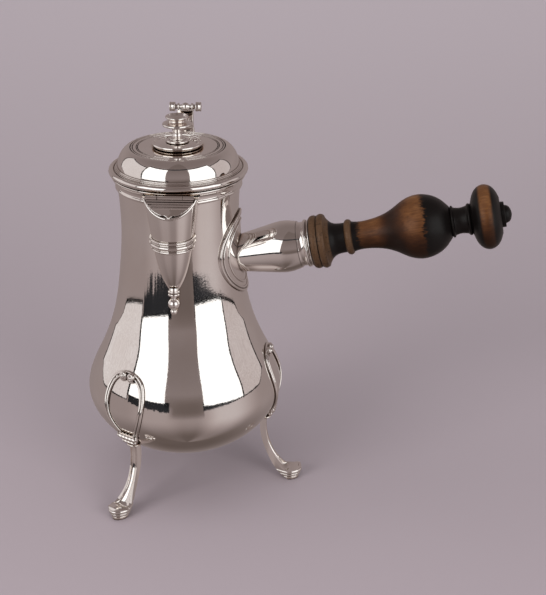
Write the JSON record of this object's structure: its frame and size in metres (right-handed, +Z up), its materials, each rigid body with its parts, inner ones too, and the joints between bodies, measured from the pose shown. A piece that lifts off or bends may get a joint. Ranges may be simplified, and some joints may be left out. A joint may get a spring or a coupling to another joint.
{
  "type": "chocolate pot",
  "caption": "Pear-shaped silver chocolate pot on legs, with a hinged domed lid, a swivelling stirrer-hole cover with finial, a flapped spout and a turned wooden side handle.",
  "frame": {"origin": "the table, under the middle of the pot's outline, handle included", "axes": "+Z up through the lid, +X along the handle from the body, -Y towards the spout, +Y towards the lid's hinge"},
  "size_m": [0.2518, 0.1272, 0.2346],
  "materials": {
    "silver": "polished silver, clean bright surfaces with soft wear",
    "wood": "turned hardwood, ebonised, polished, worn to brown on the bulb and the collar"
  },
  "bodies": {
    "pot": {"body_shell": "silver", "rim_moulding": "silver", "spout_beak": "silver", "spout_lip": "silver", "spout_bridge": "silver", "spout_band": "silver", "spout_drop": "silver", "flap_pin": "silver", "handle_plate": "silver", "handle_socket": "silver", "socket_ring": "silver", "handle_grip": "wood", "handle_pin": "silver", "leg_under_handle": "silver", "leg_beside_spout": "silver", "leg_at_back": "silver", "hinge_body_leaf": "silver", "hinge_pin": "silver"},
    "lid": {"lid_dome": "silver", "lid_rim": "silver", "lid_bezel": "silver", "stirrer_hole_collar": "silver", "lid_hinge_leaf": "silver", "thumb_post": "silver", "thumb_bar": "silver", "swivel_pivot": "silver"},
    "cover": {"stirrer_cover": "silver", "finial": "silver"},
    "flap": {"spout_flap": "silver"}
  },
  "joints": [
    {"name": "lid_hinge", "type": "hinge", "parent": "pot", "child": "lid", "pos_m": [-0.06691, 0.04312, 0.2026], "axis": [-1, 0, 0], "range_deg": [0, 95]},
    {"name": "cover_swivel", "type": "hinge", "parent": "lid", "child": "cover", "pos_m": [-0.05531, -0.00148, 0.217], "axis": [0, 0, 1], "range_deg": [0, 180]},
    {"name": "flap_hinge", "type": "hinge", "parent": "pot", "child": "flap", "pos_m": [-0.06691, -0.04298, 0.1993], "axis": [-1, 0, 0], "range_deg": [0, 75]}
  ]
}
